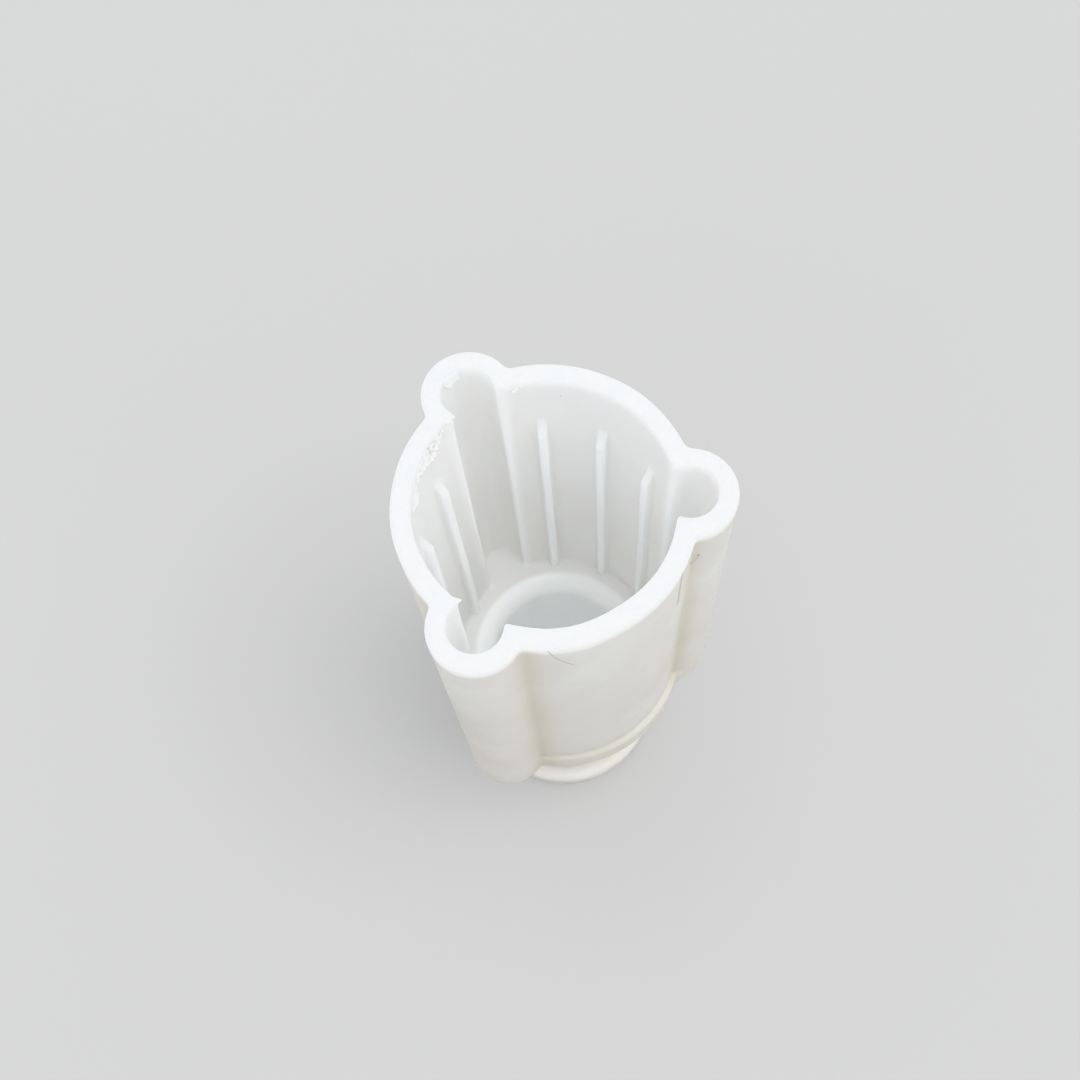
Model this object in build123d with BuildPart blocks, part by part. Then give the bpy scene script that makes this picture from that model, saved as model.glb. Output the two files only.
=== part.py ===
"""Flexible silicone mould for casting plaster, open at the top.

A round cup with three ear channels and nine grooving ribs narrows at a flat shoulder to a closed
neck, and it stands on a wider round base. Dried plaster clings inside near the rim.
Millimetres, +Z up. The origin is the centre of the flat base, on the mould's axis.
"""

import os
from math import cos, radians, sin

from build123d import *

# ---- driving dimensions of the mould ----
TOTAL_HEIGHT = 150.0  # flat base to rim
CAVITY_DEPTH = 100.0  # rim to the shoulder's floor
BODY_RADIUS = 30.0
WALL = 4.0  # everywhere but at the base
EAR_COUNT = 3
FIRST_EAR_ANGLE = 90.0  # the back ear lies on +Y
EAR_PITCH_RADIUS = 28.4  # mould axis to ear axis
EAR_RADIUS = 9.4
EAR_CHANNEL_RADIUS = 5.6
NECK_CHANNEL_RADIUS = 17.5
BASE_RADIUS = 25.3
BASE_THICKNESS = 6.0
FOOT_RADIUS = 30.6  # the body swells a little just above the shoulder
FOOT_HEIGHT = 12.0  # shoulder's underside to where the swelling starts
FOOT_SLOPE = 2.0  # height over which it swells

# ---- ribs on the cavity wall ----
RIBS_PER_SECTOR = 3  # a sector is the wall between two ears
RIB_SPACING = 30.0  # degrees
RIB_WIDTH = 2.0
RIB_HEIGHT = 2.0  # how far a rib stands in from the wall
RIB_TOP_BELOW_RIM = 17.2
RIB_RAMP_LENGTH = 5.2  # slanted top end, measured down the wall
RIB_EDGE_ROUND = 0.4
RIB_ROOT = 0.5  # how far a rib runs back into the wall and the floor

# ---- edge rounds ----
EAR_VALLEY_ROUND = 2.0  # outside, where an ear meets the body
EAR_CUSP_ROUND = 0.7  # inside, where an ear channel opens into the cavity
RIM_OUTER_ROUND = 1.2
RIM_INNER_ROUND = 0.5
SHOULDER_OUTER_ROUND = 3.0
SHOULDER_VALLEY_ROUND = 1.5  # outside, where the neck meets the shoulder
SHOULDER_LIP_ROUND = 5.0  # inside, where the shoulder turns down into the neck
CAVITY_CORNER_ROUND = 1.0
NECK_FLOOR_ROUND = 3.0
BASE_TOP_ROUND = 2.2
BASE_VALLEY_ROUND = 1.0  # outside, where the neck meets the base
BASE_BOTTOM_ROUND = 1.0

# ---- dried plaster inside the rim ----
CRUST_START_ANGLE = 104.0
CRUST_END_ANGLE = 147.0
CRUST_TOP_BELOW_RIM = 0.8
CRUST_HEIGHT = 7.2
CRUST_THICKNESS = 0.35
# bites out of the crust's lower edge: (angle in degrees, radius in mm)
CRUST_BITES = [(104, 4.6), (110, 3.0), (115.5, 1.2), (126, 3.2), (132.5, 3.4), (138.5, 1.1), (147, 2.6)]
FLAKE_START_ANGLE = 82.0  # the flake's angles are about the back ear's axis
FLAKE_END_ANGLE = 120.0
FLAKE_TOP_BELOW_RIM = 0.9
FLAKE_HEIGHT = 3.8
FLAKE_THICKNESS = 0.4
FLAKE_BITES = [(84, 1.6), (101, 0.6), (119, 1.9)]
# crumbs on the cavity wall: (angle in degrees, depth below the rim in mm, radius in mm)
CRUMBS = [(70.4, 2.6, 0.75), (67.6, 1.6, 0.55), (65.2, 1.3, 0.4)]

# ---- derived sizes ----
CAVITY_RADIUS = BODY_RADIUS - WALL
NECK_RADIUS = NECK_CHANNEL_RADIUS + WALL
FLOOR_Z = TOTAL_HEIGHT - CAVITY_DEPTH
SHOULDER_Z = FLOOR_Z - WALL
FOOT_TOP_Z = SHOULDER_Z + FOOT_HEIGHT
FIRST_RIB_ANGLE = FIRST_EAR_ANGLE + 180.0 / EAR_COUNT - RIB_SPACING * (RIBS_PER_SECTOR - 1) / 2
RIB_TOP_Z = TOTAL_HEIGHT - RIB_TOP_BELOW_RIM
EDGE_SLACK = 0.3  # how closely edges are told apart when they are picked by height or radius


def edges_at(solid, height):
    """The edges of a solid that lie wholly at one height."""
    return solid.edges().filter_by_position(Axis.Z, height, height)


def junctions(solid):
    """The climbing edges where the ears cross the body: no other edge of an unrounded trefoil climbs."""
    return solid.edges().filter_by(lambda edge: edge.bounding_box().size.Z > EDGE_SLACK)


def circles(edges, radius):
    """The circular edges of one radius, out of a list of edges."""
    return edges.filter_by(GeomType.CIRCLE).filter_by(lambda edge: abs(edge.radius - radius) < EDGE_SLACK)


def trefoil(body_radius, ear_radius):
    """A circle with the ears' circles on it, drawn in the current sketch."""
    Circle(body_radius)
    with PolarLocations(EAR_PITCH_RADIUS, EAR_COUNT, start_angle=FIRST_EAR_ANGLE):
        Circle(ear_radius)


def wall_plane(radius, angle, height):
    """A plane that touches an upright round wall from inside, facing away from its axis."""
    outward = Vector(cos(radians(angle)), sin(radians(angle)), 0)
    return Plane(origin=outward * radius + Vector(0, 0, height), z_dir=outward)


def clinging_film(radius, thickness, height, start_angle, end_angle, bites):
    """A film inside a round wall about the Z axis, hanging down from z = 0, its lower edge bitten."""
    start = radians(start_angle)
    section = Plane(origin=(0, 0, 0), x_dir=(cos(start), sin(start), 0), z_dir=(sin(start), -cos(start), 0))
    with BuildPart() as piece:
        with BuildSketch(section):
            with Locations((radius - thickness / 2, -height / 2)):
                Rectangle(thickness, height)
        revolve(axis=Axis.Z, revolution_arc=end_angle - start_angle)
        for angle, bite_radius in bites:
            with BuildSketch(wall_plane(radius, angle, -height)):
                Circle(bite_radius)
            extrude(amount=bite_radius, both=True, mode=Mode.SUBTRACT)
    return piece.part


os.makedirs("parts", exist_ok=True)

# ---- outside of the mould: a trefoil body on a round neck and base ----
with BuildPart() as outside:
    with BuildSketch(Plane.XY.offset(SHOULDER_Z)):
        trefoil(BODY_RADIUS, EAR_RADIUS)
    extrude(amount=TOTAL_HEIGHT - SHOULDER_Z)
    with BuildSketch(Plane.XZ):
        with BuildLine():
            Polyline(
                (0, SHOULDER_Z),
                (FOOT_RADIUS, SHOULDER_Z),
                (FOOT_RADIUS, FOOT_TOP_Z - FOOT_SLOPE),
                (BODY_RADIUS, FOOT_TOP_Z),
                (0, FOOT_TOP_Z),
                close=True,
            )
        make_face()
    revolve(axis=Axis.Z)
    fillet(junctions(outside), EAR_VALLEY_ROUND)
    fillet(edges_at(outside, TOTAL_HEIGHT), RIM_OUTER_ROUND)
    fillet(edges_at(outside, SHOULDER_Z), SHOULDER_OUTER_ROUND)
    with BuildSketch(Plane.XY):
        Circle(NECK_RADIUS)
    extrude(amount=SHOULDER_Z)
    with BuildSketch(Plane.XY):
        Circle(BASE_RADIUS)
    extrude(amount=BASE_THICKNESS)
    fillet(edges_at(outside, 0), BASE_BOTTOM_ROUND)
    fillet(circles(edges_at(outside, BASE_THICKNESS), BASE_RADIUS), BASE_TOP_ROUND)
    fillet(circles(edges_at(outside, BASE_THICKNESS), NECK_RADIUS), BASE_VALLEY_ROUND)
    fillet(circles(edges_at(outside, SHOULDER_Z), NECK_RADIUS), SHOULDER_VALLEY_ROUND)

# ---- inside of the mould: the space that the plaster fills, before the ribs ----
with BuildPart() as inside:
    with BuildSketch(Plane.XY.offset(FLOOR_Z)):
        trefoil(CAVITY_RADIUS, EAR_CHANNEL_RADIUS)
    extrude(amount=CAVITY_DEPTH)
    fillet(junctions(inside), EAR_CUSP_ROUND)
    fillet(edges_at(inside, FLOOR_Z), CAVITY_CORNER_ROUND)
    with BuildSketch(Plane.XY.offset(BASE_THICKNESS)):
        Circle(NECK_CHANNEL_RADIUS)
    extrude(amount=FLOOR_Z - BASE_THICKNESS)
    fillet(edges_at(inside, BASE_THICKNESS), NECK_FLOOR_ROUND)
    fillet(circles(edges_at(inside, FLOOR_Z), NECK_CHANNEL_RADIUS), SHOULDER_LIP_ROUND)

# ---- one rib, lying along +X: its top end ramps out of the wall ----
with BuildPart() as rib:
    with BuildSketch(Plane.XZ):
        with BuildLine():
            Polyline(
                (CAVITY_RADIUS + RIB_ROOT, FLOOR_Z - RIB_ROOT),
                (CAVITY_RADIUS - RIB_HEIGHT, FLOOR_Z - RIB_ROOT),
                (CAVITY_RADIUS - RIB_HEIGHT, RIB_TOP_Z - RIB_RAMP_LENGTH),
                (CAVITY_RADIUS, RIB_TOP_Z),
                (CAVITY_RADIUS + RIB_ROOT, RIB_TOP_Z),
                close=True,
            )
        make_face()
    extrude(amount=RIB_WIDTH / 2, both=True)
    face_edges = rib.edges().filter_by_position(Axis.X, 0, CAVITY_RADIUS - RIB_ROOT)
    fillet(face_edges.filter_by(Axis.Y, reverse=True), RIB_EDGE_ROUND)

# ---- the mould itself, cast in one piece ----
with BuildPart() as mould_body:
    add(outside.part)
    add(inside.part, mode=Mode.SUBTRACT)
    rim_face = mould_body.faces().sort_by(Axis.Z)[-1]
    fillet(rim_face.inner_wires()[0].edges(), RIM_INNER_ROUND)
    for rib_number in range(RIBS_PER_SECTOR):
        with PolarLocations(0, EAR_COUNT, start_angle=FIRST_RIB_ANGLE + rib_number * RIB_SPACING):
            add(rib.part)

mould_body.part.label = "mould_body"
export_step(mould_body.part, "parts/mould_body.step")

# ---- crust of dried plaster, on the wall between the back ear and the left ear ----
with BuildPart(Plane.XY.offset(TOTAL_HEIGHT - CRUST_TOP_BELOW_RIM)) as plaster_crust:
    add(
        clinging_film(
            CAVITY_RADIUS, CRUST_THICKNESS, CRUST_HEIGHT, CRUST_START_ANGLE, CRUST_END_ANGLE, CRUST_BITES
        )
    )
plaster_crust.part.label = "plaster_crust"
export_step(plaster_crust.part, "parts/plaster_crust.step")

# ---- flake of dried plaster, high in the back ear's channel ----
back_ear = wall_plane(EAR_PITCH_RADIUS, FIRST_EAR_ANGLE, TOTAL_HEIGHT - FLAKE_TOP_BELOW_RIM).origin
with BuildPart(Plane(origin=back_ear)) as plaster_flake:
    add(
        clinging_film(
            EAR_CHANNEL_RADIUS, FLAKE_THICKNESS, FLAKE_HEIGHT, FLAKE_START_ANGLE, FLAKE_END_ANGLE, FLAKE_BITES
        )
    )
plaster_flake.part.label = "plaster_flake"
export_step(plaster_flake.part, "parts/plaster_flake.step")

# ---- crumbs of dried plaster, stuck to the wall to the right of the back ear ----
with BuildPart() as plaster_crumbs:
    for angle, depth, crumb_radius in CRUMBS:
        with Locations(wall_plane(CAVITY_RADIUS, angle, TOTAL_HEIGHT - depth)):
            Sphere(crumb_radius)
    with Locations((0, 0, TOTAL_HEIGHT)):
        Cylinder(CAVITY_RADIUS, CAVITY_DEPTH, mode=Mode.INTERSECT)
plaster_crumbs.part.label = "plaster_crumbs"
export_step(plaster_crumbs.part, "parts/plaster_crumbs.step")
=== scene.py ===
"""Looks of the silicone plaster mould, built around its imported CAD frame.

The mould is one mesh of stacked rings with the CAD's own sizes, finer than the CAD and slightly uneven
like a real casting. Dried plaster clings to it near the rim. Metres, +Z up, the frame of the CAD.
"""

from math import acos, atan2, cos, degrees, pi, radians, sin, sqrt

import bmesh
import bpy
import numpy as np
from mathutils import Matrix, Vector, noise


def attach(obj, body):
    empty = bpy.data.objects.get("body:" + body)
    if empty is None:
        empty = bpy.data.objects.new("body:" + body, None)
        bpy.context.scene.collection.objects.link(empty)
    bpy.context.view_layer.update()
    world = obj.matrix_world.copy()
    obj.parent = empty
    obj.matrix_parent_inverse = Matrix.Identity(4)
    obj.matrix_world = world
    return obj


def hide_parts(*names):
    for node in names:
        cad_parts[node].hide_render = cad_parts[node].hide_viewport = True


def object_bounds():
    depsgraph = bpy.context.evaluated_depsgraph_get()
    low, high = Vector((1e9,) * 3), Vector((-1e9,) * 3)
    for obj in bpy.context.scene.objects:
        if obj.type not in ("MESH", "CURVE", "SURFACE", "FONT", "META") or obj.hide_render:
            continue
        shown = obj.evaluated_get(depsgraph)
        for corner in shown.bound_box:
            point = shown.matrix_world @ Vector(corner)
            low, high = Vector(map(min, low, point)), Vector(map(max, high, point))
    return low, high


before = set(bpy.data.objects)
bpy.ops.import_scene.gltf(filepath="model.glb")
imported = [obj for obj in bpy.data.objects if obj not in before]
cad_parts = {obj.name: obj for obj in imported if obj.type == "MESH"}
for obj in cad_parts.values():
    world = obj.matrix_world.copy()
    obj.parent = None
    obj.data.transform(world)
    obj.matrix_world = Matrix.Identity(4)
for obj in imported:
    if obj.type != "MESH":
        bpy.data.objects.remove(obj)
cad_low, cad_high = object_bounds()

# ---- sizes of the mould, in metres, as in the CAD but for the foot and the rounds of ribs and cusps ----
TOP = cad_high.z
BODY_RADIUS = 0.0300
CAVITY_RADIUS = 0.0260
EAR_PITCH = 0.0284  # mould axis to ear axis
EAR_RADIUS = 0.0094
EAR_CHANNEL_RADIUS = 0.0056
NECK_RADIUS = 0.0215
NECK_CHANNEL_RADIUS = 0.0175
BASE_RADIUS = 0.0253
BASE_THICKNESS = 0.006
EAR_ANGLES = [90, 210, 330]  # degrees

FLOOR_Z = 0.050
SHOULDER_Z = 0.046
FOOT_TOP_Z = 0.058  # below this the body swells outwards a little
FOOT_SWELL = 0.0002  # where it swells least
FOOT_BULGE = 0.0010  # how much more it swells on one side
FOOT_BULGE_ANGLE = -45  # degrees
BULGE_FADES_IN = 0.001  # across the wall, from the cavity outwards
BULGE_FADES_OUT = 0.0015  # from a little beyond the body outwards, so that the ears keep their shape
BULGE_RISES_OVER = 0.002  # from a little below the shoulder upwards
FOOT_SLOPE = 0.0030  # height over which the body swells
FOOT_CREASE = 0.00045  # shallow groove above the swelling
FOOT_CREASE_HALF_HEIGHT = 0.0012

VALLEY_ROUND = 0.0020
CUSP_ROUND = 0.0007
CUSP_ROUND_BELOW = 0.0011  # the cusps are softer further down
CUSP_SOFTENS_OVER = 0.012
RIM_OUTER_ROUND = 0.0012
RIM_INNER_ROUND = 0.0005
SHOULDER_OUTER_ROUND = 0.0030
SHOULDER_VALLEY_ROUND = 0.0015
LIP_ROUND = 0.0050
CAVITY_CORNER_ROUND = 0.0010
NECK_FLOOR_ROUND = 0.0030
BASE_TOP_ROUND = 0.0022
BASE_VALLEY_ROUND = 0.0010
BASE_BOTTOM_ROUND = 0.0010

RIB_SPACING = pi / 6
RIB_WIDTH = 0.0020
RIB_HEIGHT = 0.0020
RIB_EDGE_ROUND = 0.0006
RIB_ROOT_ROUND = 0.0009
RIB_TOP_Z = TOP - 0.0172
RIB_RAMP = 0.0052  # height of the slanted top end
RIB_SPREAD = 0.00015  # how far rib points spread out where there is no rib

# ---- how finely the rings are divided ----
EAR_STEPS = 14
CORNER_STEPS = 7
WALL_STEPS = 7
ROUND_STEPS = 6
WIDE_ROUND_STEPS = 8
LIP_STEPS = 12
RIB_ROUND_POINTS = 5
NECK_STEP = 0.005
WALL_STEP = 0.0030
FOOT_STEP = 0.0006
RIM_STEP = 0.0012

# ---- unevenness of the casting ----
WAVE_HEIGHT = 0.00012
WAVES_ROUND = 2.2  # the mould's radius in the noise that makes the waves
WAVES_UP = 22  # per metre
SEED = Vector((3.1, 7.7, 1.9))

# ---- where the silicone looks white and carries painted highlights, and where it is soiled and carries painted shade ----
# painted highlight: the rim's top is painted white over this depth
RIM_HIGHLIGHT_DEPTH = 0.004
CHANNEL_PAINTED_LIGHT = 0.85  # painted light that lifts the neck channel's shade: 0 is thin and greyish, 1 is thick and white
CUSP_WHITENESS = 0.7
CUSP_WHITE_REACH = 0.0016
# painted highlight: the cavity's floor is painted lighter where it faces up
FLOOR_HIGHLIGHT = 0.35
FLOOR_HIGHLIGHT_HEIGHT = 0.002
BASE_WHITENESS = 0.1
VALLEY_REACH = 0.0030  # of the painted shade and grime in the outer valleys
SCUFFED_EAR = 210  # degrees
SCUFF_ANGLE = 160  # degrees about that ear's axis
SCUFF_SPREAD = 14  # degrees


# ---------------------------------------------------------------- small helpers
AXIS = Vector((0, 0, 0))  # where the mould's own axis stands
UP = Vector((0, 0, 1))


def clamped(share):
    """A share kept between 0 and 1."""
    return min(1.0, max(0.0, share))


def eased(share):
    """0 to 1 with a smooth start and end."""
    share = clamped(share)
    return share * share * (3 - 2 * share)


def outwards(angle):
    """The level direction at an angle in degrees."""
    return Vector((cos(radians(angle)), sin(radians(angle)), 0))


def on_wall(angle, z, radius=BODY_RADIUS, axis=AXIS):
    """A spot on a round upright wall, the angle in degrees about the wall's axis."""
    return axis + outwards(angle) * radius + UP * z


# ---------------------------------------------------------------- outlines
def arc(centre, radius, start, end, steps):
    """Points along an arc, without its end point."""
    turn = np.linspace(start, end, steps, endpoint=False)
    return np.column_stack((centre[0] + radius * np.cos(turn), centre[1] + radius * np.sin(turn)))


def rib_profile():
    """Half of a rib's section as sideways places and heights, from the bare wall to the rib's middle."""
    root = np.linspace(-pi / 2, -pi, RIB_ROUND_POINTS)
    edge = np.linspace(0, pi / 2, RIB_ROUND_POINTS)
    sideways = np.concatenate(
        (
            [RIB_WIDTH / 2 + 1.5 * RIB_ROOT_ROUND],
            RIB_WIDTH / 2 + RIB_ROOT_ROUND * (1 + np.cos(root)),
            [RIB_WIDTH / 2],
            RIB_WIDTH / 2 - RIB_EDGE_ROUND * (1 - np.cos(edge)),
            [RIB_WIDTH / 6, 0],
        )
    )
    height = np.concatenate(
        (
            [0],
            RIB_ROOT_ROUND * (1 + np.sin(root)),
            [RIB_HEIGHT / 2],
            RIB_HEIGHT - RIB_EDGE_ROUND * (1 - np.sin(edge)),
            [RIB_HEIGHT, RIB_HEIGHT],
        )
    )
    return sideways, height / RIB_HEIGHT


RIB_SIDEWAYS, RIB_SHARE = rib_profile()
RIB_RESTING = RIB_SIDEWAYS + RIB_SPREAD * (1 - RIB_SHARE)


def half_rib(radius, rib_height):
    """Half a rib along +X on a wall of one radius, from its clockwise side to its middle."""
    shown = min(1.0, 4 * rib_height / RIB_HEIGHT)
    sideways = RIB_RESTING + (RIB_SIDEWAYS - RIB_RESTING) * shown
    return np.column_stack((np.sqrt(radius**2 - sideways**2) - RIB_SHARE * rib_height, -sideways))


def turned(points, angle):
    """Points turned about the axis, the angle in radians."""
    turn = np.array(((cos(angle), sin(angle)), (-sin(angle), cos(angle))))
    return points @ turn


def mirrored(points):
    """Points mirrored across the X axis, in the opposite order."""
    return points[::-1] * (1, -1)


def corner_angle(body_radius, ear_radius, corner_round):
    """The direction of the centre of the round between an ear along +X and the body."""
    reach = body_radius + corner_round
    across = ear_radius + corner_round
    return acos((reach**2 + EAR_PITCH**2 - across**2) / (2 * reach * EAR_PITCH))


def wall_points(radius, start, rib_height):
    """The body's arc from the corner's end to the middle of the sector, with one and a half ribs."""
    rib = half_rib(radius, rib_height)
    half_width = atan2(-rib[0][1], rib[0][0])
    whole = np.concatenate((rib, mirrored(rib)[1:]))
    middle = pi / len(EAR_ANGLES)
    beside = middle - RIB_SPACING
    return np.concatenate(
        (
            arc((0, 0), radius, start, beside - half_width, WALL_STEPS),
            turned(whole, beside),
            arc((0, 0), radius, beside + half_width, middle - half_width, WALL_STEPS + 1)[1:],
            turned(rib, middle),
        )
    )


def all_round(half):
    """A closed outline from the points between an ear's tip and the middle of a sector."""
    sector = np.concatenate((half[:-1], turned(mirrored(half), 2 * pi / len(EAR_ANGLES))[:-1]))
    return np.concatenate([turned(sector, radians(angle)) for angle in EAR_ANGLES])


def trefoil(body_radius, ear_radius, corner_round, rib_height=0.0):
    """A body circle with three ears, the corners between them rounded."""
    direction = corner_angle(body_radius, ear_radius, corner_round)
    centre = (body_radius + corner_round) * np.array((cos(direction), sin(direction)))
    ear_end = atan2(centre[1], centre[0] - EAR_PITCH)
    half = np.concatenate(
        (
            arc((EAR_PITCH, 0), ear_radius, 0, ear_end, EAR_STEPS),
            arc(centre, corner_round, ear_end + pi, direction + pi, CORNER_STEPS),
            wall_points(body_radius, direction, rib_height),
        )
    )
    return all_round(half)


def outer(body_radius, inset=0.0):
    """The mould's outside, pulled in by an inset."""
    return trefoil(body_radius - inset, EAR_RADIUS - inset, VALLEY_ROUND + inset)


def inner(corner_round, outset=0.0, rib_height=0.0):
    """The cavity's wall, moved out by an outset."""
    return trefoil(
        CAVITY_RADIUS + outset, EAR_CHANNEL_RADIUS + outset, corner_round - outset, rib_height
    )


def circle(radius):
    """A circle whose points follow those of the trefoils."""
    direction = corner_angle(CAVITY_RADIUS, EAR_CHANNEL_RADIUS, CUSP_ROUND)
    start = arc((0, 0), radius, 0, direction, EAR_STEPS + CORNER_STEPS)
    scale = radius / CAVITY_RADIUS
    return all_round(np.concatenate((start, scale * wall_points(CAVITY_RADIUS, direction, 0))))


# ---------------------------------------------------------------- the stack of rings
def body_radius_at(z):
    """The outside radius: it swells below the foot's top, with a shallow crease above that."""
    swell = FOOT_SWELL * eased((FOOT_TOP_Z - z) / FOOT_SLOPE)
    crease = FOOT_CREASE * np.exp(-(((z - FOOT_TOP_Z) / FOOT_CREASE_HALF_HEIGHT) ** 2))
    return BODY_RADIUS + swell - crease


def cusp_round_at(z):
    """The cusps' round, which grows below the rim."""
    return CUSP_ROUND + (CUSP_ROUND_BELOW - CUSP_ROUND) * eased((TOP - z) / CUSP_SOFTENS_OVER)


def rib_height_at(z):
    """How far the ribs stand out at a height: they ramp up below their top end."""
    return RIB_HEIGHT * clamped((RIB_TOP_Z - z) / RIB_RAMP)


def quarter(start, end, steps=ROUND_STEPS):
    """Angles from start to end in degrees, in radians, with both ends."""
    return np.radians(np.linspace(start, end, steps + 1))


def heights(start, end, spacing):
    """Even heights from start to end, without either end."""
    count = max(2, round(abs(end - start) / spacing))
    return np.linspace(start, end, count + 1)[1:-1]


def rings_outside():
    """The outside from the base's middle up to the rim's flat top, as (outline, height) pairs."""
    base_flat = BASE_RADIUS - BASE_BOTTOM_ROUND
    for radius in (0.3 * base_flat, 0.7 * base_flat, 0.98 * base_flat):
        yield circle(radius), 0.0
    for turn in quarter(-90, 0):
        yield circle(base_flat + BASE_BOTTOM_ROUND * cos(turn)), BASE_BOTTOM_ROUND * (1 + sin(turn))
    for turn in quarter(0, 90, WIDE_ROUND_STEPS):
        radius = BASE_RADIUS - BASE_TOP_ROUND * (1 - cos(turn))
        yield circle(radius), BASE_THICKNESS - BASE_TOP_ROUND * (1 - sin(turn))
    neck_valley = NECK_RADIUS + BASE_VALLEY_ROUND
    for turn in quarter(-90, -180):
        z = BASE_THICKNESS + BASE_VALLEY_ROUND * (1 + sin(turn))
        yield circle(neck_valley + BASE_VALLEY_ROUND * cos(turn)), z
    neck_top = SHOULDER_Z - SHOULDER_VALLEY_ROUND
    for z in heights(BASE_THICKNESS + BASE_VALLEY_ROUND, neck_top, NECK_STEP):
        yield circle(NECK_RADIUS), z
    valley = NECK_RADIUS + SHOULDER_VALLEY_ROUND
    for turn in quarter(180, 90):
        yield circle(valley + SHOULDER_VALLEY_ROUND * cos(turn)), neck_top + SHOULDER_VALLEY_ROUND * sin(turn)
    sole = outer(body_radius_at(SHOULDER_Z), SHOULDER_OUTER_ROUND)
    for share in (0.06, 0.35, 0.65, 0.94):
        yield circle(valley) * (1 - share) + sole * share, SHOULDER_Z
    for turn in quarter(0, 90, WIDE_ROUND_STEPS):
        z = SHOULDER_Z + SHOULDER_OUTER_ROUND * (1 - cos(turn))
        yield outer(body_radius_at(z), SHOULDER_OUTER_ROUND * (1 - sin(turn))), z
    foot_end = FOOT_TOP_Z + 2 * FOOT_CREASE_HALF_HEIGHT
    for z in heights(SHOULDER_Z + SHOULDER_OUTER_ROUND, foot_end, FOOT_STEP):
        yield outer(body_radius_at(z)), z
    for z in heights(foot_end, TOP - RIM_OUTER_ROUND, WALL_STEP):
        yield outer(BODY_RADIUS), z
    for turn in quarter(0, 90):
        z = TOP - RIM_OUTER_ROUND * (1 - sin(turn))
        yield outer(BODY_RADIUS, RIM_OUTER_ROUND * (1 - cos(turn))), z


def rings_inside():
    """The inside from the rim's flat top down to the middle of the neck's floor."""
    rim_outer = outer(BODY_RADIUS, RIM_OUTER_ROUND)
    rim_inner = inner(CUSP_ROUND, RIM_INNER_ROUND)
    for share in (0.08, 0.5, 0.92):
        yield rim_outer * (1 - share) + rim_inner * share, TOP
    for turn in quarter(90, 0, 4):
        z = TOP - RIM_INNER_ROUND * (1 - sin(turn))
        yield inner(CUSP_ROUND, RIM_INNER_ROUND * (1 - cos(turn))), z
    ramp_foot = RIB_TOP_Z - RIB_RAMP
    below_ramp = ramp_foot - 0.0004
    wall = [
        *heights(TOP - RIM_INNER_ROUND, RIB_TOP_Z, RIM_STEP),
        *np.linspace(RIB_TOP_Z, ramp_foot, 12),
        (ramp_foot + below_ramp) / 2,
        *heights(below_ramp, FLOOR_Z + CAVITY_CORNER_ROUND, WALL_STEP),
    ]
    for z in wall:
        yield inner(cusp_round_at(z), 0, rib_height_at(z)), z
    for turn in quarter(0, 90):
        inset = CAVITY_CORNER_ROUND * (1 - cos(turn))
        z = FLOOR_Z + CAVITY_CORNER_ROUND * (1 - sin(turn))
        yield inner(CUSP_ROUND_BELOW, -inset, RIB_HEIGHT - inset), z
    lip_start = NECK_CHANNEL_RADIUS + LIP_ROUND
    floor_edge = inner(CUSP_ROUND_BELOW, -CAVITY_CORNER_ROUND, RIB_HEIGHT - CAVITY_CORNER_ROUND)
    floor_middle = circle((lip_start + CAVITY_RADIUS - RIB_HEIGHT) / 2)
    for share in (0.08, 0.4, 0.7, 1.0):
        yield floor_edge * (1 - share) + floor_middle * share, FLOOR_Z
    for turn in quarter(90, 180, LIP_STEPS):
        yield circle(lip_start + LIP_ROUND * cos(turn)), FLOOR_Z - LIP_ROUND * (1 - sin(turn))
    channel_foot = BASE_THICKNESS + NECK_FLOOR_ROUND
    for z in heights(FLOOR_Z - LIP_ROUND, channel_foot, NECK_STEP):
        yield circle(NECK_CHANNEL_RADIUS), z
    for turn in quarter(0, 90):
        radius = NECK_CHANNEL_RADIUS - NECK_FLOOR_ROUND * (1 - cos(turn))
        yield circle(radius), channel_foot - NECK_FLOOR_ROUND * sin(turn)
    disc = NECK_CHANNEL_RADIUS - NECK_FLOOR_ROUND
    for radius in (0.97 * disc, 0.6 * disc, 0.3 * disc):
        yield circle(radius), BASE_THICKNESS


def unevenness(x, y, z):
    """A slow wave over the casting, outwards or inwards, the same for both faces of a wall."""
    outward = Vector((x, y, 0)).normalized() if x or y else Vector((0, 0, 0))
    place = Vector((WAVES_ROUND * outward.x, WAVES_ROUND * outward.y, WAVES_UP * z))
    above_base = clamped((z - SHOULDER_Z) / (TOP - SHOULDER_Z))
    return outward * (WAVE_HEIGHT * above_base * 2 * noise.noise(place + SEED))


def foot_bulge(x, y, z):
    """How far the soft foot of the body bulges on one side."""
    radius = sqrt(x * x + y * y)
    beyond_body = eased((radius - BODY_RADIUS - 0.001) / BULGE_FADES_OUT)
    on_body = eased((radius - CAVITY_RADIUS) / BULGE_FADES_IN) * (1 - beyond_body)
    on_foot = eased((FOOT_TOP_Z - z) / FOOT_SLOPE) * eased((z - SHOULDER_Z + 0.0005) / BULGE_RISES_OVER)
    facing = (1 + cos(atan2(y, x) - radians(FOOT_BULGE_ANGLE))) / 2
    return Vector((x, y, 0)) * (FOOT_BULGE * on_body * on_foot * facing**5 / max(radius, 1e-6))


# Thin flash left at the cusps when the mould was cast: (direction of the cusp and of the flap from it, both
# in degrees, then the flap's length, its height and its width).
FLASHES = [
    (197.8, 327, 0.0015, 0.0024, 0.0010),
    (102.2, 327, 0.0013, 0.0012, 0.0006),
    (102.6, 345, 0.0008, 0.0006, 0.0003),
]


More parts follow.
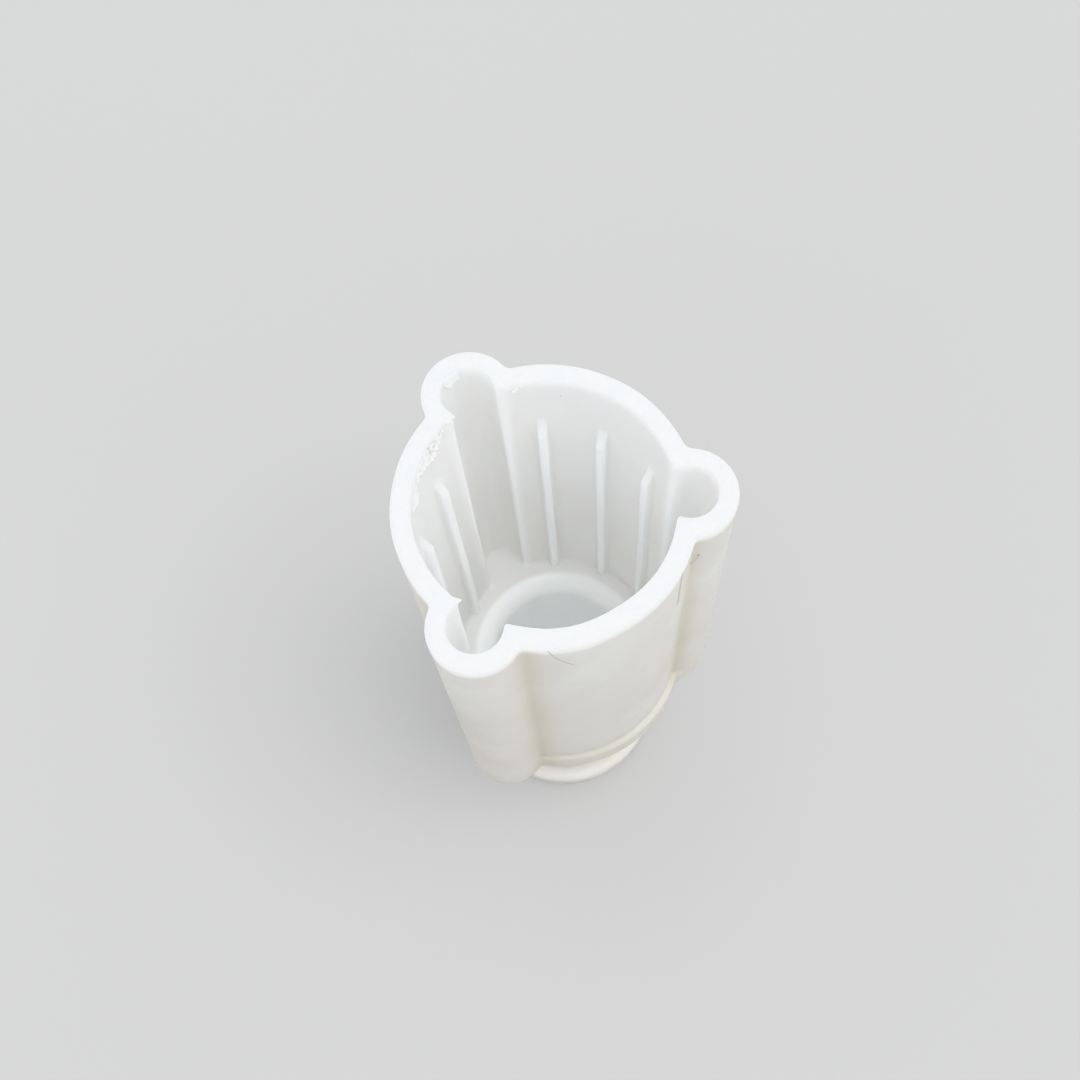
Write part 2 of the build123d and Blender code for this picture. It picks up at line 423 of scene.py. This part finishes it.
def flash_pull(x, y, z):
    """How far the flash at the cusps pulls a point of the cavity's edge out of the plain shape."""
    pull = Vector((0, 0, 0))
    for cusp, flap, length, height, width in FLASHES:
        tip = outwards(cusp) * CAVITY_RADIUS
        away = (Vector((x, y, 0)) - tip).length / width
        down = (TOP - z) / height
        if away < 1 and down < 1:
            pull += outwards(flap) * (length * (1 - away) ** 1.5 * (1 - down))
    return pull


def stacked_mesh(name, rings):
    """A closed mesh from rings that all have the same number of points, its two ends filled with fans."""
    rings = list(rings)
    count = len(rings[0][0])
    points = []
    for outline, z in rings:
        for x, y in outline:
            spot = Vector((x, y, z))
            points.append(spot + unevenness(*spot) + foot_bulge(*spot) + flash_pull(*spot))
    faces = []
    for level in range(len(rings) - 1):
        low, high = level * count, (level + 1) * count
        for i in range(count):
            j = (i + 1) % count
            faces.append((low + i, low + j, high + j, high + i))
    start, end = len(points), len(points) + 1
    points += [Vector((0, 0, rings[0][1])), Vector((0, 0, rings[-1][1]))]
    last = (len(rings) - 1) * count
    for i in range(count):
        j = (i + 1) % count
        faces.append((start, j, i))
        faces.append((end, last + i, last + j))
    return new_object(name, points, faces)


def new_object(name, points, faces):
    """A smooth-shaded mesh object in the scene."""
    mesh = bpy.data.meshes.new(name)
    mesh.from_pydata([tuple(p) for p in points], [], faces)
    mesh.shade_smooth()
    mesh.validate()
    thing = bpy.data.objects.new(name, mesh)
    bpy.context.scene.collection.objects.link(thing)
    return thing


def beside_ears(radius, ear_radius, corner_round):
    """The spots on a round wall, at height 0, where it meets the rounds on both sides of each ear."""
    turn = degrees(corner_angle(radius, ear_radius, corner_round))
    return [on_wall(angle + side * turn, 0, radius) for angle in EAR_ANGLES for side in (-1, 1)]


CUSPS = beside_ears(CAVITY_RADIUS, EAR_CHANNEL_RADIUS, CUSP_ROUND)
VALLEYS = beside_ears(BODY_RADIUS, EAR_RADIUS, VALLEY_ROUND)


def near_any(x, y, spots, reach):
    """1 on any of several spots, fading out over a reach."""
    nearest = min((Vector((x, y, 0)) - spot).length for spot in spots)
    return np.exp(-((nearest / reach) ** 2))


def whiteness_and_highlight(x, y, z):
    """How white the silicone looks from the inside, 0 to 1: whiter on the thick ribs and cusps, partly as
    painted highlight, with painted highlights on the lip and the floor and painted light that lifts the
    neck's channel.
    """
    if z < FLOOR_Z - 0.0001:
        rise = (z - FLOOR_Z + 1.3 * LIP_ROUND) / LIP_ROUND
        return CHANNEL_PAINTED_LIGHT + (1 - CHANNEL_PAINTED_LIGHT) * eased(rise)
    radius = sqrt(x * x + y * y)
    on_floor = 1 - eased((z - FLOOR_Z) / FLOOR_HIGHLIGHT_HEIGHT)
    lip = on_floor * eased(1 - (radius - NECK_CHANNEL_RADIUS - 0.7 * LIP_ROUND) / (0.5 * LIP_ROUND))
    rib = (1 - on_floor) * clamped((CAVITY_RADIUS - radius) / RIB_HEIGHT)
    cusp = CUSP_WHITENESS * near_any(x, y, CUSPS, CUSP_WHITE_REACH)
    return max(lip, rib, cusp, FLOOR_HIGHLIGHT * on_floor)


def scuffed(x, y):
    """How scuffed the outside is: a band down the side of one ear."""
    from_axis = Vector((x, y, 0)) - outwards(SCUFFED_EAR) * EAR_PITCH
    aside = degrees(atan2(from_axis.y, from_axis.x)) % 360 - SCUFF_ANGLE
    on_ear = eased((EAR_RADIUS + 0.001 - from_axis.length) / 0.001)
    return on_ear * np.exp(-((aside / SCUFF_SPREAD) ** 2))


def paint(thing, name, values):
    """Stores one number per point of a mesh for its material."""
    layer = thing.data.attributes.new(name, "FLOAT", "POINT")
    layer.data.foreach_set("value", np.array(values, np.float32))


def mould():
    """The mould's whole skin, painted with how white it is and its painted highlights, its outside's painted
    warm shade, and how soiled and shaded it is.
    """
    outside, inside = list(rings_outside()), list(rings_inside())
    thing = stacked_mesh("silicone_mould", outside + inside)
    outside_count = len(outside) * len(outside[0][0])
    white, shaded_outside, valley, scuff = [], [], [], []
    for index, vertex in enumerate(thing.data.vertices):
        x, y, z = vertex.co
        is_outside = index < outside_count
        # painted highlight along the rim's top, inside and out
        rim = eased(1 - (TOP - z) / RIM_HIGHLIGHT_DEPTH)
        base = eased(1.2 - z / (2 * BASE_THICKNESS))
        white.append(max(rim, BASE_WHITENESS * base if is_outside else whiteness_and_highlight(x, y, z)))
        # painted warm shade over the outside walls, none on the lit rim and less on the base
        shaded_outside.append((1 - rim) * (1 - 0.2 * base) if is_outside else 0.0)
        # where the painted shade and grime of the outer valleys fall
        valley.append(near_any(x, y, VALLEYS, VALLEY_REACH))
        scuff.append(scuffed(x, y))
    paint(thing, "whiteness_and_highlight", white)
    paint(thing, "valley", valley)
    paint(thing, "scuff", scuff)
    paint(thing, "shaded_outside", shaded_outside)
    return thing


# ---------------------------------------------------------------- dried plaster
FILM_RAGGED = 0.0007  # how far the lower edge wanders
FILM_LEAST_DROP = 0.0004
FILM_GRAIN = 1100  # lumps per metre
FILM_BEAD_REACH = 0.0006
FILM_SUNK = 0.00008  # how deep a hole lies behind the wall's face
FILM_EDGE_SUNK = 0.00003
FILM_BACK = 0.0003  # how deep the film's back lies in the wall


def clinging_film(name, axis, wall_radius, top_z, lower_edge, thin, patchy, bead, columns, rows):
    """A ragged film of plaster on a round wall, seen from inside.

    lower_edge holds (angle in degrees, drop below top_z) pairs. The film is thin in its middle, with
    holes where it is patchy, and carries a thicker bead along its lower edge."""
    angles, drops = zip(*lower_edge)
    front, back = [], []
    for column in range(columns + 1):
        angle = angles[0] + (angles[-1] - angles[0]) * column / columns
        ragged = FILM_RAGGED * noise.fractal(Vector((angle * 0.55, 0.0, 0.0)) + SEED, 0.9, 2.1, 4)
        drop = max(FILM_LEAST_DROP, float(np.interp(angle, angles, drops)) + ragged)
        side = min(1.0, 6 * column / columns, 6 * (columns - column) / columns)
        for row in range(rows + 1):
            share = row / rows
            z = top_z - drop * share
            grain = Vector((radians(angle) * wall_radius, z, 0)) * FILM_GRAIN + SEED
            lump = noise.fractal(grain, 0.8, 2.2, 4)
            edge = np.exp(-(((share - 0.9) * drop / FILM_BEAD_REACH) ** 2))
            film = thin * (1 - 0.75 * patchy + (0.5 + 1.1 * patchy) * lump)
            depth = (film + bead * edge * (0.45 + 1.1 * lump)) * side
            if row in (0, rows) or column in (0, columns):
                depth = -FILM_EDGE_SUNK
            spot = on_wall(angle, z, wall_radius, axis)
            spot += unevenness(*spot)
            front.append(spot - outwards(angle) * max(-FILM_SUNK, depth))
            back.append(spot + outwards(angle) * FILM_BACK)
    return shell(name, front, back, columns, rows)


def shell(name, front, back, columns, rows):
    """A closed sheet between two grids of points."""
    width = rows + 1
    offset = len(front)
    faces = []
    for column in range(columns):
        for row in range(rows):
            a = column * width + row
            b, c, d = a + 1, a + width + 1, a + width
            faces.append((a, b, c, d))
            faces.append((offset + d, offset + c, offset + b, offset + a))
    around = [column * width for column in range(columns + 1)]
    around += [columns * width + row for row in range(1, rows + 1)]
    around += [column * width + rows for column in range(columns - 1, -1, -1)]
    around += [row for row in range(rows - 1, 0, -1)]
    for a, b in zip(around, around[1:] + around[:1]):
        faces.append((a, b, offset + b, offset + a))
    return new_object(name, front + back, faces)


def crust():
    """The ragged crust between the back ear and the left ear."""
    lower_edge = [
        (106.0, 0.0010), (110, 0.0028), (112, 0.0042), (114, 0.0050), (117.5, 0.0068), (121, 0.0072),
        (124.5, 0.0052), (130, 0.0042), (134, 0.0040), (136.5, 0.0074), (141.5, 0.0074), (147.5, 0.0050),
    ]
    return clinging_film(
        "plaster_crust_film", AXIS, CAVITY_RADIUS, TOP - 0.0006, lower_edge,
        thin=0.00012, patchy=1.0, bead=0.00042, columns=300, rows=60,
    )


def flake():
    """The chip high in the back ear's channel."""
    lower_edge = [
        (77, 0.0022), (80, 0.0030), (88, 0.0031), (97, 0.0036), (103, 0.0042), (112, 0.0034), (122, 0.0012),
    ]
    return clinging_film(
        "plaster_ear_flake", outwards(90) * EAR_PITCH, EAR_CHANNEL_RADIUS, TOP - 0.0008, lower_edge,
        thin=0.00030, patchy=0.0, bead=0.00016, columns=80, rows=40,
    )


def crumb(points, faces, centre, radius):
    """Adds one lumpy crumb to lists of points and faces."""
    ball = bmesh.new()
    bmesh.ops.create_icosphere(ball, subdivisions=3, radius=1.0)
    start = len(points)
    for vertex in ball.verts:
        lump = 1 + 0.55 * noise.fractal(vertex.co * 1.3 + centre * 900, 0.7, 2.2, 3)
        points.append(centre + vertex.co * (radius * lump))
    for face in ball.faces:
        faces.append([start + vertex.index for vertex in face.verts])
    ball.free()


def crumbs():
    """The crumbs on the wall on both sides of the back ear: (angle in degrees, depth, radius)."""
    places = [
        (70.6, 0.0026, 0.00046), (69.7, 0.0020, 0.00030), (67.8, 0.0014, 0.00030), (66.6, 0.0012, 0.00022),
        (63.0, 0.0007, 0.00022), (104.2, 0.0009, 0.00040), (105.2, 0.0005, 0.00030), (103.8, 0.0016, 0.00026),
    ]
    points, faces = [], []
    for angle, depth, radius in places:
        crumb(points, faces, on_wall(angle, TOP - depth, CAVITY_RADIUS - 0.3 * radius), radius)
    return new_object("plaster_wall_crumbs", points, faces)


# ---------------------------------------------------------------- materials
SILICONE_THIN = (0.940, 0.951, 0.966, 1)
# the white of thick silicone, also used for the painted highlights
SILICONE_THICK_AND_HIGHLIGHT = (0.972, 0.989, 0.995, 1)
# painted warm shade of the outside walls
SILICONE_OUTSIDE_SHADE = (0.770, 0.760, 0.732, 1)
# grime, also used for the painted shade in the outer valleys and low on the body
GRIME_AND_SHADE = (0.700, 0.655, 0.560, 1)
SMUDGE = (0.42, 0.33, 0.22, 1)
# dark marks, also used for a painted shade line beside the right ear's valley
DARK_MARKS_AND_SHADE = (0.26, 0.24, 0.21, 1)
MARKS_STRENGTH = 0.55
SCATTER_DEPTH = 0.0025  # how far light strays in the silicone
PLASTER = (0.94, 0.94, 0.93, 1)
PLASTER_BLOTCHES = (0.86, 0.86, 0.84, 1)
# painted shade in the plaster's pits
PLASTER_PIT_SHADE = (0.74, 0.72, 0.68, 1)
FLOOR_TONES = ((0.262, 0.259, 0.256, 1), (0.268, 0.265, 0.262, 1))
FLOOR_GLOW = 0.75


def link(tree, value, socket):
    """Feeds a socket from another node's output, or sets its value."""
    if isinstance(value, bpy.types.NodeSocket):
        tree.links.new(value, socket)
    else:
        socket.default_value = value


def add(tree, kind, output=0, inputs=None, **settings):
    """Adds a node and returns one of its outputs. Inputs are given by name or number."""
    made = tree.nodes.new(kind)
    for key, value in settings.items():
        setattr(made, key, value)
    for key, value in (inputs or {}).items():
        link(tree, value, made.inputs[key])
    return made.outputs[output]


def maths(tree, operation, first, second=0.0):
    """One arithmetic step."""
    return add(tree, "ShaderNodeMath", inputs={0: first, 1: second}, operation=operation)


def ramp(tree, value, low, high, from_low=0.0, from_high=1.0):
    """Maps a value smoothly from one range to another."""
    return add(
        tree, "ShaderNodeMapRange", interpolation_type="SMOOTHSTEP",
        inputs={"Value": value, "From Min": from_low, "From Max": from_high, "To Min": low, "To Max": high},
    )


def mixed(tree, share, first, second):
    """A blend of two colours."""
    return add(
        tree, "ShaderNodeMix", output=2, data_type="RGBA",
        inputs={"Factor": share, 6: first, 7: second},
    )


def noise_at(tree, place, scale, detail=4.0, rough=0.55):
    """Noise between 0 and 1."""
    return add(
        tree, "ShaderNodeTexNoise",
        inputs={"Vector": place, "Scale": scale, "Detail": detail, "Roughness": rough},
    )


def material_tree(name):
    """A new material's node tree, its surface node and the object coordinates."""
    material = bpy.data.materials.new(name)
    material.use_nodes = True
    tree = material.node_tree
    surface = tree.nodes["Principled BSDF"]
    place = add(tree, "ShaderNodeTexCoord", output="Object")
    return material, tree, surface, place


def painted(tree, name):
    """A number painted on the mesh."""
    return add(tree, "ShaderNodeAttribute", output="Fac", attribute_name=name)


def offset_from(tree, place, spot):
    """The vector from a spot to the shaded place."""
    return add(tree, "ShaderNodeVectorMath", inputs={0: place, 1: spot}, operation="SUBTRACT")


def dot(tree, first, second):
    """The dot product of two vectors."""
    return add(
        tree, "ShaderNodeVectorMath", output="Value", inputs={0: first, 1: second}, operation="DOT_PRODUCT"
    )


def far_from(tree, place, spot):
    """The distance to a spot."""
    return add(tree, "ShaderNodeVectorMath", output="Value", inputs={0: place, 1: spot}, operation="DISTANCE")


def either(tree, marks):
    """The strongest of several marks."""
    strongest = marks[0]
    for mark in marks[1:]:
        strongest = maths(tree, "MAXIMUM", strongest, mark)
    return strongest


MARK_DEPTH = 0.001  # how deep a ring mark reaches in from its middle


def ring_mark(tree, place, centre, facing, tilt, radii, width, middle=None, reach=None):
    """A thin ring on the surface, in the plane that faces a direction, its first radius turned by tilt.

    With a middle and a reach, only the part of the ring within that reach of the middle."""
    normal = facing.normalized()
    level = Vector((1, 0, 0)) if abs(normal.z) > 0.9 else UP.cross(normal)
    first = Matrix.Rotation(radians(tilt), 3, normal) @ level
    second = normal.cross(first)
    middle = middle or centre
    reach = reach or 1.5 * max(radii)
    squares = [
        maths(tree, "POWER", dot(tree, offset_from(tree, place, centre), direction / length), 2.0)
        for direction, length in zip((first, second), radii)
    ]
    size = maths(tree, "SQRT", maths(tree, "ADD", *squares))
    off_ring = maths(tree, "ABSOLUTE", maths(tree, "SUBTRACT", size, 1.0))
    mark = ramp(tree, off_ring, 1.0, 0.0, 0.4 * width / min(radii), width / min(radii))
    close = maths(tree, "LESS_THAN", far_from(tree, place, middle), reach)
    depth = maths(tree, "ABSOLUTE", dot(tree, offset_from(tree, place, middle), normal))
    shallow = maths(tree, "LESS_THAN", depth, MARK_DEPTH)
    return maths(tree, "MULTIPLY", mark, maths(tree, "MULTIPLY", close, shallow))


def line_mark(tree, place, start, end, width):
    """A thin straight line on the surface between two spots."""
    run = end - start
    offset = offset_from(tree, place, start)
    share = add(tree, "ShaderNodeClamp", inputs={"Value": dot(tree, offset, run / run.length_squared)})
    nearest = add(tree, "ShaderNodeVectorMath", inputs={0: run, "Scale": share}, operation="SCALE")
    return ramp(tree, far_from(tree, offset, nearest), 1.0, 0.0, 0.3 * width, width)


def hair_on(tree, place):
    """A hair stuck to the outside: a short arc of a wide ring."""
    start = on_wall(242.6, 0.1421)
    centre = start + UP.cross(start).normalized() * 0.0205 + UP * 0.0103
    middle = on_wall(242.2, 0.1432)
    return ring_mark(tree, place, centre, outwards(242.6), 0, (0.0229, 0.0229), 0.00016, middle, 0.0059)


def curls_on(tree, place):
    """A curl on the right ear, and a faint one on the rim."""
    on_ear = on_wall(243.7, 0.138, EAR_RADIUS, outwards(330) * EAR_PITCH)
    on_rim = Vector((0.0182, 0.0209, TOP))
    seen_part = Vector((0.0187, 0.0205, TOP))
    ear_curl = ring_mark(tree, place, on_ear, on_wall(243.7, 0), 69, (0.00165, 0.00060), 0.00018)
    rim_curl = ring_mark(tree, place, on_rim, UP, 50, (0.0010, 0.0006), 0.00016, seen_part, 0.0010)
    return [ear_curl, maths(tree, "MULTIPLY", 0.25, rim_curl)]


def specks_on(tree, place):
    """Specks of dust on the outside and on the cavity's wall."""
    outside = [(278.7, 0.1090), (299.9, 0.1206), (311.4, 0.1031), (266.0, 0.0790), (301.5, 0.1178)]
    inside = [(79.6, 0.1345), (50.0, 0.1436), (122.2, 0.1227), (172.0, 0.1260)]
    spots = [on_wall(angle, z) for angle, z in outside]
    spots += [on_wall(angle, z, CAVITY_RADIUS) for angle, z in inside]
    distances = [far_from(tree, place, spot) for spot in spots]
    return [ramp(tree, distance, 0.6, 0.0, from_low=0.00015, from_high=0.00035) for distance in distances]


def marks_and_shade_on(tree, place):
    """Small dark marks: a hair, two curls, a painted shade line beside the right ear's valley, a nick in the
    rim by the right ear, and dust.
    """
    # crease: a dark line painted down the body wall beside the right ear's valley, painted shade along the
    # valley's edge
    crease = line_mark(tree, place, on_wall(298.2, 0.1480), on_wall(298.0, 0.1300), 0.0007)
    nick = line_mark(tree, place, Vector((0.0204, -0.0189, TOP)), Vector((0.0213, -0.0194, TOP)), 0.00040)
    marks = [maths(tree, "MULTIPLY", 0.8, crease), nick, hair_on(tree, place)]
    marks += curls_on(tree, place) + specks_on(tree, place)
    return maths(tree, "MULTIPLY", either(tree, marks), MARKS_STRENGTH)


def smudge_on(tree, place):
    """A brown smudge on the rim and a fainter one beside it."""
    rough = maths(tree, "MULTIPLY", noise_at(tree, place, 1500.0), 0.0006)
    smudges = []
    for x, y, strength in ((-0.0235, 0.0118, 0.75), (-0.0228, 0.0128, 0.45)):
        distance = maths(tree, "ADD", far_from(tree, place, Vector((x, y, TOP))), rough)
        smudges.append(ramp(tree, distance, strength, 0.0, from_low=0.0003, from_high=0.0009))
    return either(tree, smudges)


def grime_and_shade_on(tree, place):
    """Grime and painted shade on the outside: cloudy grime, painted shade with grime in the valleys beside
    the ears, painted warm shade lower down, and a scuff.
    """
    height = add(tree, "ShaderNodeSeparateXYZ", output="Z", inputs={0: place})
    layers = [
        ramp(tree, noise_at(tree, place, 38.0, 5.0), 0.0, 0.35, from_low=0.35, from_high=0.72),
        # painted warm shade, darker towards the bottom
        ramp(tree, height, 0.16, 0.0, from_low=0.05, from_high=0.14),
        # painted shade with grime in the valleys beside the ears
        maths(tree, "MULTIPLY", painted(tree, "valley"), 0.55),
    ]
    specked = noise_at(tree, place, 420.0, 6.0, 0.65)
    blotches = ramp(tree, specked, 0.0, 0.6, from_low=0.44, from_high=0.62)
    grime_and_shade = maths(tree, "MULTIPLY", painted(tree, "scuff"), blotches)
    for layer in layers:
        grime_and_shade = maths(tree, "ADD", grime_and_shade, layer)
    return maths(tree, "MULTIPLY", painted(tree, "shaded_outside"), grime_and_shade)


def silicone_colour(tree, place, white):
    """Milky, whiter where it is thick, with painted highlights, painted warm shade on the outside and in its
    valleys, and with its stains, marks and a painted shade line.
    """
    cloudy = ramp(tree, noise_at(tree, place, 45.0, 5.0), -0.15, 0.15, from_low=0.35, from_high=0.7)
    # painted shade: the outside walls are darker and warmer
    thin = mixed(tree, painted(tree, "shaded_outside"), SILICONE_THIN, SILICONE_OUTSIDE_SHADE)
    clean = mixed(tree, maths(tree, "ADD", white, cloudy), thin, SILICONE_THICK_AND_HIGHLIGHT)
    stained_and_shaded = mixed(tree, grime_and_shade_on(tree, place), clean, GRIME_AND_SHADE)
    smudged = mixed(tree, smudge_on(tree, place), stained_and_shaded, SMUDGE)
    return mixed(tree, marks_and_shade_on(tree, place), smudged, DARK_MARKS_AND_SHADE)


def silicone_material():
    """Milky satin silicone. Light passes through where it is thin."""
    material, tree, surface, place = material_tree("silicone")
    white = painted(tree, "whiteness_and_highlight")
    colour = silicone_colour(tree, place, white)
    link(tree, colour, surface.inputs["Base Color"])

    surface.inputs["Subsurface Weight"].default_value = 1.0
    surface.inputs["Subsurface Radius"].default_value = (1.0, 0.92, 0.85)
    surface.inputs["Subsurface Scale"].default_value = SCATTER_DEPTH
    surface.inputs["IOR"].default_value = 1.41
    smear = noise_at(tree, place, 160.0, 6.0, 0.6)
    satin = ramp(tree, smear, 0.36, 0.52, from_low=0.3, from_high=0.7)
    link(tree, satin, surface.inputs["Roughness"])

    pores = noise_at(tree, place, 900.0, 3.0, 0.6)
    waves = noise_at(tree, place, 120.0, 3.0)
    relief = maths(tree, "ADD", maths(tree, "MULTIPLY", pores, 0.25), waves)
    bump = add(tree, "ShaderNodeBump", inputs={"Height": relief, "Strength": 0.25, "Distance": 0.00025})
    link(tree, bump, surface.inputs["Normal"])

    through = add(tree, "ShaderNodeBsdfTranslucent", inputs={"Color": colour, "Normal": bump})
    share = ramp(tree, white, 0.40, 0.04)
    both = add(tree, "ShaderNodeMixShader", inputs={0: share, 1: surface.outputs[0], 2: through})
    link(tree, both, tree.nodes["Material Output"].inputs["Surface"])
    return material


def plaster_material():
    """Chalky dried plaster, with painted shade in its pits."""
    material, tree, surface, place = material_tree("dried_plaster")
    grain = noise_at(tree, place, 1400.0, 5.0, 0.65)
    blotch = noise_at(tree, place, 350.0, 4.0)
    clean = ramp(tree, blotch, 0.0, 1.0, from_low=0.35, from_high=0.7)
    # painted shade in the pits, where the bump's grain is lowest
    pit_shade = ramp(tree, grain, 0.25, 0.0, from_low=0.3, from_high=0.5)
    colour = mixed(tree, pit_shade, mixed(tree, clean, PLASTER_BLOTCHES, PLASTER), PLASTER_PIT_SHADE)
    link(tree, colour, surface.inputs["Base Color"])
    surface.inputs["Subsurface Weight"].default_value = 0.5
    surface.inputs["Subsurface Radius"].default_value = (1.0, 1.0, 1.0)
    surface.inputs["Subsurface Scale"].default_value = 0.0004
    link(tree, ramp(tree, grain, 0.75, 0.95), surface.inputs["Roughness"])
    bump = add(tree, "ShaderNodeBump", inputs={"Height": grain, "Strength": 0.6, "Distance": 0.00012})
    link(tree, bump, surface.inputs["Normal"])
    return material


def floor_material():
    """Pale matte floor with a slight glow, which keeps its shadow faint."""
    material, tree, surface, place = material_tree("floor")
    tone = mixed(tree, noise_at(tree, place, 3.0, 2.0), *FLOOR_TONES)
    link(tree, tone, surface.inputs["Base Color"])
    link(tree, tone, surface.inputs["Emission Color"])
    surface.inputs["Emission Strength"].default_value = FLOOR_GLOW
    surface.inputs["Roughness"].default_value = 0.9
    surface.inputs["Specular IOR Level"].default_value = 0.1
    return material


# ---------------------------------------------------------------- the pieces
def dress(piece, material, node):
    """Gives a piece its material and puts it in the place of its CAD node."""
    piece.data.materials.clear()
    piece.data.materials.append(material)
    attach(piece, "root")
    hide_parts(node)


plaster = plaster_material()
dress(mould(), silicone_material(), "mould_body")
dress(crust(), plaster, "plaster_crust")
dress(flake(), plaster, "plaster_flake")
dress(crumbs(), plaster, "plaster_crumbs")


# ---------------------------------------------------------------- stage, light and camera
FLOOR_SIDE = 6.0
CAMERA_ELEVATION = radians(68.14)
CAMERA_TURN = radians(-26.25)
CAMERA_ROLL = radians(-6.94)
CAMERA_DISTANCE = 0.2547  # to the rim's middle, along the view
CAMERA_SIDESTEP = 0.0007
CAMERA_RISE = 0.0078
LENS = 44.0  # mm
SENSOR_WIDTH = 36.0  # mm
HORIZON_LIGHT = (0.76, 0.745, 0.72, 1)
OVERHEAD_LIGHT = (1.80, 1.87, 1.97, 1)


def floor():
    """A wide plain floor under the mould."""
    half = FLOOR_SIDE / 2
    corners = [(-half, -half, 0), (half, -half, 0), (half, half, 0), (-half, half, 0)]
    ground = new_object("floor", [Vector(c) for c in corners], [(0, 1, 2, 3)])
    ground.data.materials.append(floor_material())


def sun(name, strength, colour, spread, azimuth, elevation):
    """A wide, soft light from one direction, the angles in degrees."""
    lamp = bpy.data.lights.new(name, "SUN")
    lamp.energy = strength
    lamp.color = colour
    lamp.angle = radians(spread)
    thing = bpy.data.objects.new(name, lamp)
    towards = outwards(azimuth) * cos(radians(elevation)) + UP * sin(radians(elevation))
    thing.rotation_euler = towards.to_track_quat("Z", "Y").to_euler()
    bpy.context.scene.collection.objects.link(thing)


def surroundings():
    """Soft light from all round, warmer and dimmer near the horizon."""
    world = bpy.data.worlds.new("studio")
    world.use_nodes = True
    tree = world.node_tree
    direction = add(tree, "ShaderNodeTexCoord", output="Generated")
    rise = add(tree, "ShaderNodeSeparateXYZ", output="Z", inputs={0: direction})
    light = mixed(tree, ramp(tree, rise, 0.0, 1.0), HORIZON_LIGHT, OVERHEAD_LIGHT)
    link(tree, light, tree.nodes["Background"].inputs["Color"])
    bpy.context.scene.world = world


def camera():
    """The camera, aimed steeply down at the rim and rolled a little."""
    spin = Matrix.Rotation(CAMERA_TURN, 3, "Z")
    back = spin @ Vector((0, -cos(CAMERA_ELEVATION), sin(CAMERA_ELEVATION)))
    level = spin @ Vector((1, 0, 0))
    steep = back.cross(level)
    right = level * cos(CAMERA_ROLL) + steep * sin(CAMERA_ROLL)
    up = back.cross(right)
    seen = bpy.data.cameras.new("camera")
    seen.lens = LENS
    seen.sensor_width = SENSOR_WIDTH
    seen.clip_start = 0.01
    seen.clip_end = 20.0
    thing = bpy.data.objects.new("camera", seen)
    place = Vector((0, 0, TOP)) + back * CAMERA_DISTANCE - right * CAMERA_SIDESTEP - up * CAMERA_RISE
    thing.matrix_world = Matrix.Translation(place) @ Matrix((right, up, back)).transposed().to_4x4()
    bpy.context.scene.collection.objects.link(thing)
    bpy.context.scene.camera = thing


floor()
surroundings()
sun("key", 1.8, (1.0, 0.99, 0.97), spread=40, azimuth=-52, elevation=67)
# Light finds its way through the milky walls only with many bounces.
bpy.context.scene.cycles.max_bounces = 24
bpy.context.scene.cycles.diffuse_bounces = 16
bpy.context.scene.view_settings.view_transform = "Khronos PBR Neutral"
camera()
